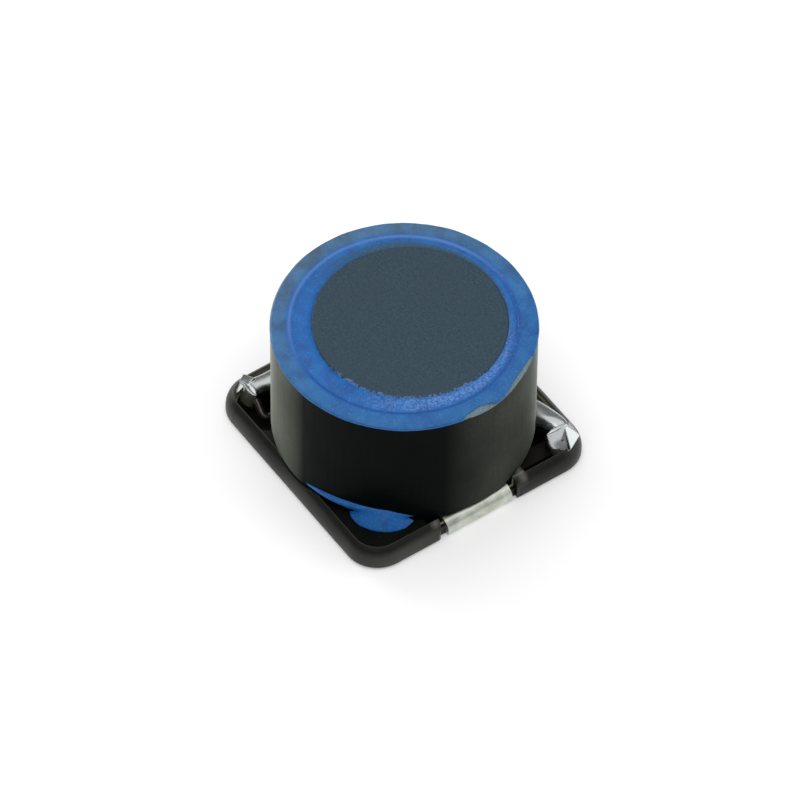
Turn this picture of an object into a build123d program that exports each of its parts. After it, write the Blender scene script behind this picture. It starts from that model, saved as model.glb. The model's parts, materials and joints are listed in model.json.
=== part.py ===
"""Shielded surface-mount power inductor: a wound drum core inside a ring core, on a moulded base.

The frame is millimetres with +Z up. The origin is the centre of the footprint, on the board's
surface. The front terminal is on the +X edge and the rear one on the -X edge. The base is the
same when turned half way round, so what stands in one corner also stands in the opposite one.
"""

from build123d import *
from math import cos, radians, sin, sqrt
import os

# Moulded base
base_side = 12.5
base_corner_radius = 1.6
stand_off = 0.05
floor_level = 0.90
rim_level = 1.10
rim_width = 0.45
rim_land = 0.07
rim_edge_round = 0.05
crown_radius = 1.0
foot_round = 0.12

# Corner pocket of the base, and the bar between it and the notch
pocket_floor_level = 0.30
pocket_shoulder = 0.15
pocket_corner_radius = 0.65
ring_overhang = 0.7
bar_width = 0.62
bar_level = 1.17
bar_face_inset = 0.06
bar_end_round = 0.5

# Notch of the base that the terminal clips round, with a pit beside it under the ring
notch_gap = 0.3
notch_mouth_round = 0.3
pit_length = 0.5
pit_face_inset = 0.5

# Terminal, a bent strip of tinned copper alloy
strip_thickness = 0.25
terminal_width = 3.5
terminal_shift = -0.10
terminal_top = 0.85
land_length = 2.2
land_bend = 0.25
top_bend = 0.52
arm_width = 0.8
arm_inset = 1.15
prong_inset = 1.25
prong_top = 1.4
prong_bend = 0.3
terminal_fit = 0.02

# Solder on each prong: a crested lump, a web to the lead at the ring's foot, and a drawn-out fin
lump_foot_radius = 0.72
lump_waist_radius = 0.56
lump_waist_level = 1.15
crest_length = 1.0
crest_width = 0.34
solder_skin = 0.06
web_root_level = 1.3
web_root_width = 1.4
web_neck_width = 0.85
web_thickness = 0.34
web_gap = 0.02
fin_depth = 0.75
fin_root_width = 0.6
front_web_angle = 56.0
front_crest_angle = 90.0
front_crest_rise = 0.47
front_fin_corners = [(0.46, 0.68, -0.62), (0.66, 0.05, -0.80)]
rear_web_angle = 38.0
rear_crest_angle = 0.0
rear_crest_rise = 0.17
rear_fin_corners = [(0.70, -0.20, -0.15), (0.14, 0.56, -0.32)]

# Ring core, the magnetic shield, with a chip out of its upper edge
ring_inset = 0.25
ring_wall = 1.15
ring_height = 6.52
ring_bore_bevel = 0.36
ring_edge_bevel = 0.10
ring_clearance = 0.05
chip_angle = 8.0
chip_slope = 52.0
chip_depth = 0.17

# Drum core, glued off the ring's centre
drum_shift_x = 0.02
drum_shift_y = 0.30
drum_rise = 0.06
core_gap = 0.42
flange_thickness = 1.0
flange_bevel = 0.07
lead_notch_width = 0.62
lead_notch_depth = 0.48

# Winding of enamelled copper wire
wire_diameter = 0.42
winding_inset = 0.43
winding_depth = 1.65
winding_gap = 0.05
lead_angle = 45.0
lead_bend = 0.3
lead_gap = 0.05
lead_foot_angle = 54.0
lead_foot_gap = 0.3
lead_end_level = 1.15

# Adhesive between the cores, with its thin coat on the ring
fill_depth = 0.95
coat_thickness = 0.05
coat_overhang = 0.03
fill_swell = 0.08
fill_sink = 0.03

# Adhesive at the ring's foot in the two free corners: a bead, a fillet and a puddle
bead_level = 1.48
bead_height = 0.36
bead_thickness = 0.15
bead_curve_radius = 4.8
bead_angle = -59.0
fillet_height = 0.74
fillet_reach = 0.32
fillet_curve_radius = 2.4
fillet_angle = -47.0
puddle_thickness = 0.1
puddle_angle = -42.0
puddle_reach = 0.58
puddle_length = 3.0
puddle_overlap = 0.9

half_side = base_side / 2
half_turn = Rot(0, 0, 180)
ring_outer_radius = half_side - ring_inset
ring_bore_radius = ring_outer_radius - ring_wall
ring_top = floor_level + ring_height
flange_radius = ring_bore_radius - core_gap
drum_top = ring_top + drum_rise
winding_radius = flange_radius - winding_inset
post_radius = winding_radius - winding_depth - winding_gap
core_seat_radius = ring_outer_radius - ring_overhang
arm_centre = half_side - arm_inset
prong_centre = half_side - prong_inset
strip_middle = strip_thickness / 2
strip_level = terminal_top - strip_middle
terminal_low = terminal_shift - terminal_width / 2
terminal_high = terminal_shift + terminal_width / 2
notch_low = terminal_low - notch_gap
notch_high = terminal_high + notch_gap
pocket_start = notch_high + bar_width + pocket_shoulder
arm_inner_edge = arm_centre - arm_width / 2
lead_drop_radius = flange_radius - lead_notch_depth / 2
lead_level = floor_level - lead_gap - wire_diameter / 2
above = drum_top + 1


def polar(radius, angle):
    return radius * cos(radians(angle)), radius * sin(radians(angle))


def block(x, y, z):
    """A box between the two ends of each range."""
    box = Box(x[1] - x[0], y[1] - y[0], z[1] - z[0])
    return Pos((x[0] + x[1]) / 2, (y[0] + y[1]) / 2, (z[0] + z[1]) / 2) * box


def disc(radius, low, high):
    """An upright cylinder between two levels."""
    return Pos(0, 0, (low + high) / 2) * Cylinder(radius, high - low)


def plate(side, corner_radius, low, high):
    """A square plate with round corners between two levels."""
    return Pos(0, 0, low) * extrude(RectangleRounded(side, side, corner_radius), high - low)


def turned(outline, arc=360):
    """The solid of revolution about Z of an outline of (radius, level) points."""
    face = make_face(Polyline(*[(r, 0, z) for r, z in outline], close=True))
    return revolve(face, Axis.Z, arc)


def bent_strip(points, bends, width, side):
    """A strip of the terminal's thickness along a path, as wide as stated along the given side."""
    path = FilletPolyline(*points, radius=bends)
    start = Plane(origin=path @ 0, x_dir=side, z_dir=path % 0)
    return sweep(start * Rectangle(width, strip_thickness), path=path)


def make_terminal():
    """Land under the base, riser, hook over its edge, and an arm to the upright prong."""
    face = half_side - strip_middle
    clip = bent_strip(
        [
            (half_side - land_length, terminal_shift, strip_middle),
            (face, terminal_shift, strip_middle),
            (face, terminal_shift, strip_level),
            (arm_inner_edge, terminal_shift, strip_level),
        ],
        [land_bend - strip_middle, top_bend - strip_middle],
        terminal_width,
        (0, 1, 0),
    )
    arm = bent_strip(
        [
            (arm_centre, terminal_shift, strip_level),
            (arm_centre, prong_centre, strip_level),
            (arm_centre, prong_centre, prong_top),
        ],
        [prong_bend],
        arm_width,
        (1, 0, 0),
    )
    return clip + arm


def lead_points(turn):
    """The path of one lead: out of the coil, down past the flange, out under the ring, up to the prong."""
    sign = 1 if turn == 0 else -1
    start_x, start_y = polar(winding_radius - wire_diameter, lead_angle)
    drop_x, drop_y = polar(lead_drop_radius, lead_angle)
    foot_x, foot_y = polar(ring_outer_radius + lead_foot_gap, lead_foot_angle)
    coil_level = floor_level + flange_thickness + winding_gap + wire_diameter / 2
    end_x = arm_inner_edge - terminal_fit - wire_diameter / 2
    end_y = prong_centre
    return [
        (drum_shift_x + sign * start_x, drum_shift_y + sign * start_y, coil_level),
        (drum_shift_x + sign * drop_x, drum_shift_y + sign * drop_y, coil_level),
        (drum_shift_x + sign * drop_x, drum_shift_y + sign * drop_y, lead_level),
        (sign * foot_x, sign * foot_y, lead_level),
        (sign * end_x, sign * end_y, lead_end_level),
    ]


def make_lead(turn):
    """One lead of the winding's wire."""
    path = FilletPolyline(*lead_points(turn), radius=lead_bend)
    return sweep(Plane(origin=path @ 0, z_dir=path % 0) * Circle(wire_diameter / 2), path=path)


def make_winding():
    """Coil of round turns on the drum's post, with both leads of the same wire."""
    low = floor_level + flange_thickness + winding_gap
    high = drum_top - flange_thickness - winding_gap
    turns = int((high - low) / wire_diameter)
    inner = winding_radius - winding_depth
    outer = winding_radius - wire_diameter / 2
    body = Pos((inner + outer) / 2, low + turns * wire_diameter / 2)
    section = body * Rectangle(outer - inner, turns * wire_diameter)
    for turn in range(turns):
        section += Pos(outer, low + (turn + 0.5) * wire_diameter) * Circle(wire_diameter / 2)
    coil = revolve(Plane.XZ * section, Axis.Z)
    return Pos(drum_shift_x, drum_shift_y, 0) * coil + make_lead(0) + make_lead(1)


def make_drum():
    """Drum core: two flanges on a post, with a notch for each lead in the lower flange."""
    low = floor_level
    rim = flange_radius - flange_bevel
    lower = low + flange_thickness
    upper = drum_top - flange_thickness
    drum = turned(
        [
            (0, low),
            (rim, low),
            (flange_radius, low + flange_bevel),
            (flange_radius, lower),
            (post_radius, lower),
            (post_radius, upper),
            (flange_radius, upper),
            (flange_radius, drum_top - flange_bevel),
            (rim, drum_top),
            (0, drum_top),
        ]
    )
    inner_end = flange_radius - lead_notch_depth
    sides = (-lead_notch_width / 2, lead_notch_width / 2)
    notch = block((inner_end, base_side), sides, (0, lower))
    for turn in (0, 180):
        drum = drum - Rot(0, 0, lead_angle + turn) * notch
    return Pos(drum_shift_x, drum_shift_y, 0) * drum


def make_chip():
    """What the chip takes: all that lies outside a slanted plane across the ring's upper edge."""
    away = Box(base_side, base_side, base_side, align=(Align.MIN, Align.CENTER, Align.CENTER))
    edge = Pos(ring_outer_radius, 0, ring_top)
    return Rot(0, 0, chip_angle) * edge * Rot(0, -chip_slope, 0) * Pos(-chip_depth, 0, 0) * away


def make_ring():
    """Ring core: a plain ring with a wide bevel at the mouth of its bore, and the chip."""
    low = floor_level
    bore = ring_bore_radius
    outer = ring_outer_radius
    ring = turned(
        [
            (bore + ring_edge_bevel, low),
            (outer - ring_edge_bevel, low),
            (outer, low + ring_edge_bevel),
            (outer, ring_top - ring_edge_bevel),
            (outer - ring_edge_bevel, ring_top),
            (bore + ring_bore_bevel, ring_top),
            (bore, ring_top - ring_bore_bevel),
            (bore, low + ring_edge_bevel),
        ]
    )
    return ring - make_chip()


def make_corner_pocket():
    """What one corner of the base loses: a deep square pocket, stopped short of the cores' seat."""
    reach = half_side - rim_width
    size = reach - pocket_start
    middle = (reach + pocket_start) / 2
    sketch = Pos(middle, middle) * Rectangle(size, size)
    rim_corner = sketch.vertices().sort_by_distance((reach, reach))[0]
    sketch = fillet(rim_corner, base_corner_radius - rim_width)
    far_corner = sketch.vertices().sort_by_distance((pocket_start, reach))[0]
    sketch = fillet(far_corner, pocket_corner_radius)
    pocket = Pos(0, 0, pocket_floor_level) * extrude(sketch, above)
    return pocket - disc(core_seat_radius, 0, above * 2)


def make_bar():
    """The bar over the terminal's arm, between the notch and the pocket."""
    outer_end = half_side - bar_face_inset
    sides = (notch_high, notch_high + bar_width)
    bar = block((arm_inner_edge, outer_end), sides, (stand_off, bar_level))
    nose = bar.edges().filter_by(Axis.Y).sort_by_distance((outer_end, notch_high, bar_level))[0]
    return fillet(nose, bar_end_round)


def make_notch():
    """What the base loses for one terminal, and the pit beside it under the ring."""
    across = (notch_low, notch_high)
    riser = block((half_side - strip_thickness, base_side), across, (-above, above))
    hook_floor = terminal_top - strip_thickness
    inner_end = arm_inner_edge - terminal_fit
    hook = block((inner_end, base_side), across, (hook_floor, above))
    pit_sides = (notch_low - pit_length, notch_low)
    pit = block((inner_end, half_side - pit_face_inset), pit_sides, (pocket_floor_level, above))
    rounds = make_mouth_round(notch_low, -1) + make_mouth_round(notch_high, 1)
    return riser + hook + pit + rounds


def make_lead_channel(turn):
    """The straight channel under the ring that a lead lies in."""
    drop, foot = lead_points(turn)[2], lead_points(turn)[3]
    width = wire_diameter + 2 * lead_gap
    run = Line((drop[0], drop[1]), (foot[0], foot[1]))
    slot = SlotCenterToCenter(run.length, width)
    middle = run @ 0.5
    direction = (foot[0] - drop[0], foot[1] - drop[1], 0)
    place = Plane(origin=(middle.X, middle.Y, lead_level - width / 2), x_dir=direction, z_dir=(0, 0, 1))
    return extrude(place * slot, above)


def make_mouth_round(edge, side):
    """What rounds one upright edge of the notch's mouth, where the side is +1 or -1 along Y."""
    radius = notch_mouth_round
    corner = block((half_side - radius, base_side), sorted((edge, edge + side * radius)), (-above, above))
    return corner - Pos(half_side - radius, edge + side * radius) * disc(radius, -2 * above, 2 * above)


def make_base(terminals):
    """Square base with a crowned rim, a flat floor, two notches and two deep corners."""
    crown = min(crown_radius, base_corner_radius - rim_edge_round)
    crown_reach = rim_width - rim_land
    side_wall_level = rim_level - sqrt(crown**2 - (crown - crown_reach) ** 2)
    blank = plate(base_side, base_corner_radius, stand_off, side_wall_level + crown)
    blank = fillet(blank.faces().sort_by(Axis.Z)[-1].edges(), crown)
    blank = fillet(blank.faces().sort_by(Axis.Z)[0].edges(), foot_round)
    base = blank & disc(base_side, 0, rim_level)
    inside = base_side - 2 * rim_width
    base = base - plate(inside, base_corner_radius - rim_width, floor_level, above)
    rim_top = base.faces().filter_by(Axis.Z).sort_by(Axis.Z)[-1]
    base = fillet(rim_top.inner_wires()[0].edges(), rim_edge_round)
    for turn, terminal in enumerate(terminals):
        side = Rot(0, 0, 180 * turn)
        base = base - side * make_notch() - side * make_corner_pocket()
        base = base + side * make_bar()
        base = base - make_lead_channel(turn) - terminal
    return base - disc(ring_outer_radius + ring_clearance, floor_level, above)


def make_gap_adhesive(cores):
    """Adhesive in the gap between the two cores, with its thin coat over the ring's top."""
    edge = ring_outer_radius + coat_overhang
    coat_top = ring_top + coat_thickness
    crest = ring_bore_radius + ring_bore_bevel
    gap_middle = (flange_radius + ring_bore_radius) / 2
    fill = turned(
        [
            (post_radius, drum_top - fill_depth),
            (ring_bore_radius, drum_top - fill_depth),
            (crest, ring_top - ring_edge_bevel),
            (edge, ring_top - ring_edge_bevel),
            (edge, ring_top),
            (ring_outer_radius - ring_edge_bevel, coat_top),
            (crest, coat_top),
            (gap_middle + ring_bore_bevel / 2, ring_top + fill_swell),
            (post_radius, ring_top + fill_sink),
        ]
    )
    drum_space = Pos(drum_shift_x, drum_shift_y, 0) * disc(flange_radius, 0, above)
    return fill - drum_space - cores - make_chip()


def crescent(curve_radius, profile, angle):
    """A swelling on the ring's wall, thickest at an angle, from (how far it stands out, level) points."""
    edge = [(curve_radius + stands_out, level) for stands_out, level in profile]
    body = turned([(0, profile[0][1]), *edge, (0, profile[-1][1])])
    body = Rot(0, 0, angle) * Pos(ring_outer_radius - curve_radius, 0) * body
    return body - disc(ring_outer_radius, 0, above)


def make_corner_adhesive(base):
    """Adhesive at the ring's foot: a thin bead on the wall, a fillet under it and a puddle."""
    low = bead_level - bead_height / 2
    high = bead_level + bead_height / 2
    bead = crescent(bead_curve_radius, [(0, low), (bead_thickness, bead_level), (0, high)], bead_angle)
    foot = [
        (fillet_reach, floor_level),
        (fillet_reach / 3, floor_level + fillet_height / 3),
        (0, floor_level + fillet_height),
    ]
    foot = crescent(fillet_curve_radius, foot, fillet_angle)
    puddle = Ellipse(puddle_reach + puddle_overlap, puddle_length / 2)
    puddle = Pos(ring_outer_radius - puddle_overlap, 0, floor_level) * extrude(puddle, puddle_thickness)
    puddle = Rot(0, 0, puddle_angle) * puddle - disc(ring_outer_radius, 0, above)
    return bead + foot + puddle - base


def drawn(start, end, start_size, end_size):
    """A tapering lump of solder with an oval section, drawn from one point to another."""
    way = Vector(*end) - Vector(*start)
    across = Vector(0, 0, 1).cross(way)
    first = Plane(origin=start, x_dir=across, z_dir=way) * Ellipse(start_size[0] / 2, start_size[1] / 2)
    last = Plane(origin=end, x_dir=across, z_dir=way) * Ellipse(end_size[0] / 2, end_size[1] / 2)
    return loft([first, last])


def make_solder(web_angle, crest_angle, crest_rise, fin_corners):
    """Solder that covers a prong and the end of its lead, before what it lies on is taken from it."""
    crest_level = prong_top + crest_rise
    crest_place = Pos(arm_centre, prong_centre, crest_level)
    foot = Pos(arm_centre, prong_centre, pocket_floor_level) * Circle(lump_foot_radius)
    waist = Pos(arm_centre, prong_centre, lump_waist_level) * Circle(lump_waist_radius)
    crest = Ellipse(crest_length / 2, crest_width / 2)
    crest = crest_place * Rot(0, 0, crest_angle) * crest
    lump = loft([foot, waist, crest])
    coat_x = arm_width / 2 + solder_skin
    coat_y = strip_middle + solder_skin
    coat = block(
        (arm_centre - coat_x, arm_centre + coat_x),
        (prong_centre - coat_y, prong_centre + coat_y),
        (terminal_top, prong_top + solder_skin),
    )
    root = polar(ring_outer_radius + web_gap, web_angle)
    neck = (arm_centre, prong_centre, crest_level - web_thickness)
    root_size = (web_root_width, web_thickness)
    web = drawn((*root, web_root_level), neck, root_size, (web_neck_width, web_thickness))
    root_x, root_y = polar(fin_root_width / 2, crest_angle)
    fin_root = [(root_x, root_y, 0), (-root_x, -root_y, 0), (0, 0, -fin_depth)]
    fin = crest_place * ConvexPolyhedron([*fin_root, *fin_corners])
    return lump + coat + web + fin


front_terminal = make_terminal()
rear_terminal = half_turn * front_terminal
winding = make_winding()
drum_core = make_drum()
shield_ring = make_ring()
base = make_base([front_terminal, rear_terminal])
gap_adhesive = make_gap_adhesive(shield_ring)
front_corner_adhesive = make_corner_adhesive(base)
rear_corner_adhesive = half_turn * front_corner_adhesive
front_solder = make_solder(front_web_angle, front_crest_angle, front_crest_rise, front_fin_corners)
front_solder = front_solder - base - front_terminal - winding - shield_ring
rear_solder = make_solder(rear_web_angle, rear_crest_angle, rear_crest_rise, rear_fin_corners)
rear_solder = half_turn * rear_solder - base - rear_terminal - winding - shield_ring

parts = {
    "base": base,
    "front_terminal": front_terminal,
    "rear_terminal": rear_terminal,
    "drum_core": drum_core,
    "shield_ring": shield_ring,
    "winding": winding,
    "front_solder": front_solder,
    "rear_solder": rear_solder,
    "gap_adhesive": gap_adhesive,
    "front_corner_adhesive": front_corner_adhesive,
    "rear_corner_adhesive": rear_corner_adhesive,
}

os.makedirs("parts", exist_ok=True)
for name, part in parts.items():
    print(name, len(part.solids()), round(part.volume, 3), part.is_valid)
    export_step(part, f"parts/{name}.step")
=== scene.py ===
"""Looks of a shielded surface-mount inductor: ferrite cores glued with blue epoxy on a resin base.

The ferrite cores, the base, the terminals and the winding keep their own solids and get their
finish here. The solder on the prongs and the epoxy are modelled here, in millimetres about the
frame's origin, and made metres when they are finished.
"""

import json
import math

import bpy
from mathutils import Matrix, Vector

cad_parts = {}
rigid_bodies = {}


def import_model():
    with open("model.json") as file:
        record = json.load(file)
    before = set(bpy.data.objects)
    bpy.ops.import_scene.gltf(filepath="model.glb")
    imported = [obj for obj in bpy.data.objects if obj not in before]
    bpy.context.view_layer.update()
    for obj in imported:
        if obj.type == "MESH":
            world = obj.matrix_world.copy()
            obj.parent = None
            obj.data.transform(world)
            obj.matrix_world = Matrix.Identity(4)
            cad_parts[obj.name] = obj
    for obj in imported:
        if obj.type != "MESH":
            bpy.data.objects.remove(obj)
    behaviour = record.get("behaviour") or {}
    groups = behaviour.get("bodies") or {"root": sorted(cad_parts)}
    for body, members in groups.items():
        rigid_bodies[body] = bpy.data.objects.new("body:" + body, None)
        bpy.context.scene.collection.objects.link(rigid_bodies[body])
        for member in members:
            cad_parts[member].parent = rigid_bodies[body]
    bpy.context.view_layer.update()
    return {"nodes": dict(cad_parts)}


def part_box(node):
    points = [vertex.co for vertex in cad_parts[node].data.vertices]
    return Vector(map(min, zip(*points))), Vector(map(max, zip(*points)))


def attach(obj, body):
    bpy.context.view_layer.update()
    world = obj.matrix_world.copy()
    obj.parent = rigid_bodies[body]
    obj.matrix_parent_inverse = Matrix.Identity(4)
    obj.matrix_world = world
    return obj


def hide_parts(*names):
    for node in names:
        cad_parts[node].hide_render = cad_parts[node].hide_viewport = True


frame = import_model()

# Sizes of the frame in millimetres
MM = 1000.0
ring_low, ring_high = [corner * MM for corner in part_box("shield_ring")]
drum_low, drum_high = [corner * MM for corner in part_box("drum_core")]
RING_RADIUS = -ring_low.x
RING_TOP = ring_high.z
DRUM_CENTRE = (drum_low + drum_high) / 2
DRUM_RADIUS = (drum_high.x - drum_low.x) / 2
FLOOR_LEVEL = ring_low.z
BASE_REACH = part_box("base")[1].x * MM

# The base's corners, its rim from the side to the walls of its pockets, and the rim's ridge
CORNER_RADIUS = 1.6
RIM_WIDTH = 0.45
RIM_LEVEL = 1.10

# The bars over the terminals' arms, and where along the edge the arms come out in the pockets and the tin is
# painted dark as shade
BAR_MIDDLE = 2.38
BAR_HALF_WIDTH = 0.32
POCKET_SHADE_START = 2.5

# The chip out of the ring's upper edge, as the frame's ring has it
CHIP_ANGLE = 8.0
CHIP_SLOPE = 52.0
CHIP_DEPTH = 0.17
CHIP_TURN = Matrix.Rotation(math.radians(CHIP_ANGLE), 3, "Z")
CHIP_AWAY = CHIP_TURN @ Vector((math.cos(math.radians(CHIP_SLOPE)), 0, math.sin(math.radians(CHIP_SLOPE))))
CHIP_EDGE = CHIP_TURN @ Vector((RING_RADIUS, 0, RING_TOP))
CHIP_REACH = CHIP_EDGE.dot(CHIP_AWAY) - CHIP_DEPTH

# The ring's bore at its mouth, below and above its wide bevel
BORE_RADIUS = 4.85
BEVEL_RADIUS = 5.21

# The line in the epoxy where its coat over the ring meets the fill of the gap
EPOXY_LINE_RADIUS = 5.15

# Sides of the object, as angles from +X towards +Y: the painted grey sheen on the ring's wall, the epoxy
# smeared over the drum, thin on the ring, wiped, and low and given painted shade behind the drum
PAINTED_SHEEN_ANGLE = 20.0
REAR_PAINTED_SHEEN_ANGLE = -110.0
SMEAR_ANGLE = -35.0
THIN_ANGLE = 175.0
WIPED_ANGLE = 0.0
BEHIND_ANGLE = 130.0

# The camera that the photograph's outlines give: a long lens, looking down at one corner
CAMERA_AZIMUTH = 54.81
CAMERA_ELEVATION = 50.79
CAMERA_ROLL = 0.547
CAMERA_DISTANCE = 376.5
CAMERA_TARGET_LEVEL = 3.5
CAMERA_AIM_RIGHT = -0.167
CAMERA_AIM_UP = -0.872
SENSOR_WIDTH = 36.0
FOCAL_PIXELS = 8369.0
PICTURE_PIXELS = 800


def linear(colour):
    """Linear RGBA of an sRGB hex colour."""
    channels = [int(colour[i : i + 2], 16) / 255 for i in (1, 3, 5)]
    return [c / 12.92 if c <= 0.04045 else ((c + 0.055) / 1.055) ** 2.4 for c in channels] + [1.0]


def node(tree, kind, settings, result=0):
    """Adds a node and gives one of its outputs; an output among the settings is linked to that input."""
    added = tree.nodes.new(kind)
    for key, value in settings.items():
        if isinstance(value, str) and value.startswith("#"):
            value = linear(value)
        if isinstance(value, bpy.types.NodeSocket):
            tree.links.new(value, added.inputs[key])
        elif isinstance(key, int) or key in added.inputs:
            added.inputs[key].default_value = value
        else:
            setattr(added, key, value)
    return added.outputs[result] if added.outputs else None


def new_material(name):
    """A material with its node tree, and the place on the object that its patterns read."""
    material = bpy.data.materials.new(name)
    material.use_nodes = True
    material.node_tree.nodes.clear()
    place = node(material.node_tree, "ShaderNodeTexCoord", {}, "Object")
    return material, material.node_tree, place


def finish_with(tree, height, strength, depth, settings):
    """The material's shader with its settings and a bump of a depth in millimetres."""
    bump = node(tree, "ShaderNodeBump", {"Height": height, "Strength": strength, "Distance": depth / MM})
    shader = node(tree, "ShaderNodeBsdfPrincipled", {"Normal": bump, **settings})
    node(tree, "ShaderNodeOutputMaterial", {"Surface": shader})


def per_mm(size):
    """The pattern scale that gives features of a size in millimetres."""
    return MM / size


def radius_about(tree, place, centre):
    """The distance from an upright axis through a point in millimetres."""
    axis = (centre[0] / MM, centre[1] / MM, 0.0)
    moved = node(tree, "ShaderNodeVectorMath", {"operation": "SUBTRACT", 0: place, 1: axis})
    flat = node(tree, "ShaderNodeVectorMath", {"operation": "MULTIPLY", 0: moved, 1: (1.0, 1.0, 0.0)})
    return node(tree, "ShaderNodeVectorMath", {"operation": "LENGTH", 0: flat}, "Value")


def facing(tree, place, angle, low, high):
    """0 to 1 as a place comes round to the side of the object that an angle points to."""
    flat = node(tree, "ShaderNodeVectorMath", {"operation": "MULTIPLY", 0: place, 1: (1.0, 1.0, 0.0)})
    away = node(tree, "ShaderNodeVectorMath", {"operation": "NORMALIZE", 0: flat})
    direction = (math.cos(math.radians(angle)), math.sin(math.radians(angle)), 0.0)
    settings = {"operation": "DOT_PRODUCT", 0: away, 1: direction}
    near = node(tree, "ShaderNodeVectorMath", settings, "Value")
    return node(tree, "ShaderNodeMapRange", {"Value": near, "From Min": low, "From Max": high})


def rounded_square(tree, place, straight):
    """The distance out from a square's corner centres: the same all along a rounded square's outline."""
    lengths = node(tree, "ShaderNodeVectorMath", {"operation": "ABSOLUTE", 0: place})
    centre = (straight / MM, straight / MM, 0.0)
    past = node(tree, "ShaderNodeVectorMath", {"operation": "SUBTRACT", 0: lengths, 1: centre})
    kept = node(tree, "ShaderNodeVectorMath", {"operation": "MAXIMUM", 0: past, 1: (0.0, 0.0, 0.0)})
    flat = node(tree, "ShaderNodeVectorMath", {"operation": "MULTIPLY", 0: kept, 1: (1.0, 1.0, 0.0)})
    return node(tree, "ShaderNodeVectorMath", {"operation": "LENGTH", 0: flat}, "Value")


def stripe(tree, value, middle, half_width):
    """1 where a value is at the middle, falling to 0 at half the width on both sides."""
    off = node(tree, "ShaderNodeMath", {"operation": "SUBTRACT", 0: value, 1: middle})
    away = node(tree, "ShaderNodeMath", {"operation": "ABSOLUTE", 0: off})
    fall = {"Value": away, "From Max": half_width, "To Min": 1.0, "To Max": 0.0}
    return node(tree, "ShaderNodeMapRange", fall)


def moulded_resin():
    """Black glass-filled resin, moulded: satin and grained, with a painted sheen down its sides and painted
    shade in its pockets.
    """
    material, tree, place = new_material("moulded_resin")
    # The mould's texture is about 0.03 mm, too fine to show, and is drawn 0.11 mm wide
    cloud = node(tree, "ShaderNodeTexNoise", {"Vector": place, "Scale": per_mm(1.3), "Detail": 4.0})
    grain = {"Vector": place, "Scale": per_mm(0.11), "Detail": 3.0, "Roughness": 0.6}
    grit = node(tree, "ShaderNodeTexNoise", grain)
    patch = node(tree, "ShaderNodeTexNoise", {"Vector": place, "Scale": per_mm(4.0), "Detail": 1.0})
    black = node(tree, "ShaderNodeMix", {"data_type": "RGBA", 0: cloud, 6: "#060805", 7: "#131510"}, 2)
    y = node(tree, "ShaderNodeSeparateXYZ", {0: place}, "Y")
    z = node(tree, "ShaderNodeSeparateXYZ", {0: place}, "Z")
    along = node(tree, "ShaderNodeMath", {"operation": "ABSOLUTE", 0: y})
    outward = rounded_square(tree, place, BASE_REACH - CORNER_RADIUS)
    wall = (CORNER_RADIUS - RIM_WIDTH) / MM
    edge = CORNER_RADIUS / MM

    # A painted pale sheen down the sides, standing for light on the outer slopes, stronger in patches; and
    # pale specks of filler
    side = {"Value": outward, "From Min": edge - 0.22 / MM, "From Max": edge - 0.06 / MM}
    sides = node(tree, "ShaderNodeMapRange", side)
    amount = {"Value": patch, "From Min": 0.35, "From Max": 0.65, "To Max": 0.45}
    thick = node(tree, "ShaderNodeMapRange", amount)
    painted_side_sheen = node(tree, "ShaderNodeMath", {"operation": "MULTIPLY", 0: sides, 1: thick})
    side_sheened = node(tree, "ShaderNodeMix", {"data_type": "RGBA", 0: painted_side_sheen, 6: black, 7: "#50534a"}, 2)
    specks = {"Value": grit, "From Min": 0.67, "From Max": 0.77, "To Max": 0.4}
    speck = node(tree, "ShaderNodeMapRange", specks)
    specked = node(tree, "ShaderNodeMix", {"data_type": "RGBA", 0: speck, 6: side_sheened, 7: "#55584c"}, 2)

    # The bars over the terminals' arms get a painted grey highlight on top
    bar = stripe(tree, along, BAR_MIDDLE / MM, BAR_HALF_WIDTH / MM)
    top = FLOOR_LEVEL / MM
    upper = {"Value": z, "From Min": top - 0.0001, "From Max": top + 0.0001, "To Max": 0.8}
    above = node(tree, "ShaderNodeMapRange", upper)
    lightened = node(tree, "ShaderNodeMath", {"operation": "MULTIPLY", 0: bar, 1: above})
    with_bar_highlight = node(tree, "ShaderNodeMix", {"data_type": "RGBA", 0: lightened, 6: specked, 7: "#67655f"}, 2)

    # The pockets' walls up to the rim's ridge get a painted pale olive light, because little real light
    # reaches them
    inner_wall = stripe(tree, outward, wall, 0.08 / MM)
    ridge = {
        "Value": z,
        "From Min": (RIM_LEVEL - 0.12) / MM,
        "From Max": (RIM_LEVEL - 0.02) / MM,
        "To Min": 1.0,
        "To Max": 0.2,
    }
    below_ridge = node(tree, "ShaderNodeMapRange", ridge)
    paled = node(tree, "ShaderNodeMath", {"operation": "MULTIPLY", 0: inner_wall, 1: below_ridge})
    colour = node(tree, "ShaderNodeMix", {"data_type": "RGBA", 0: paled, 6: with_bar_highlight, 7: "#b4b69a"}, 2)

    # Satin outside; down in the pockets the gloss is taken nearly away, as painted shade
    gloss = {"Value": cloud, "From Min": 0.3, "From Max": 0.7, "To Min": 0.3, "To Max": 0.46}
    deep = {"Value": z, "From Min": top - 0.00015, "From Max": top + 0.00015, "To Min": 0.12, "To Max": 0.5}
    inside = {"Value": outward, "From Min": wall - 0.0001, "From Max": wall, "To Max": 0.5}
    level_gloss = node(tree, "ShaderNodeMapRange", deep)
    side_gloss = node(tree, "ShaderNodeMapRange", inside)
    painted_pocket_shade = {"operation": "MAXIMUM", 0: level_gloss, 1: side_gloss}
    settings = {
        "Base Color": colour,
        "Roughness": node(tree, "ShaderNodeMapRange", gloss),
        "Specular IOR Level": node(tree, "ShaderNodeMath", painted_pocket_shade),
        "IOR": 1.33,
    }
    finish_with(tree, grit, 0.35, 0.02, settings)
    return material


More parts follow.
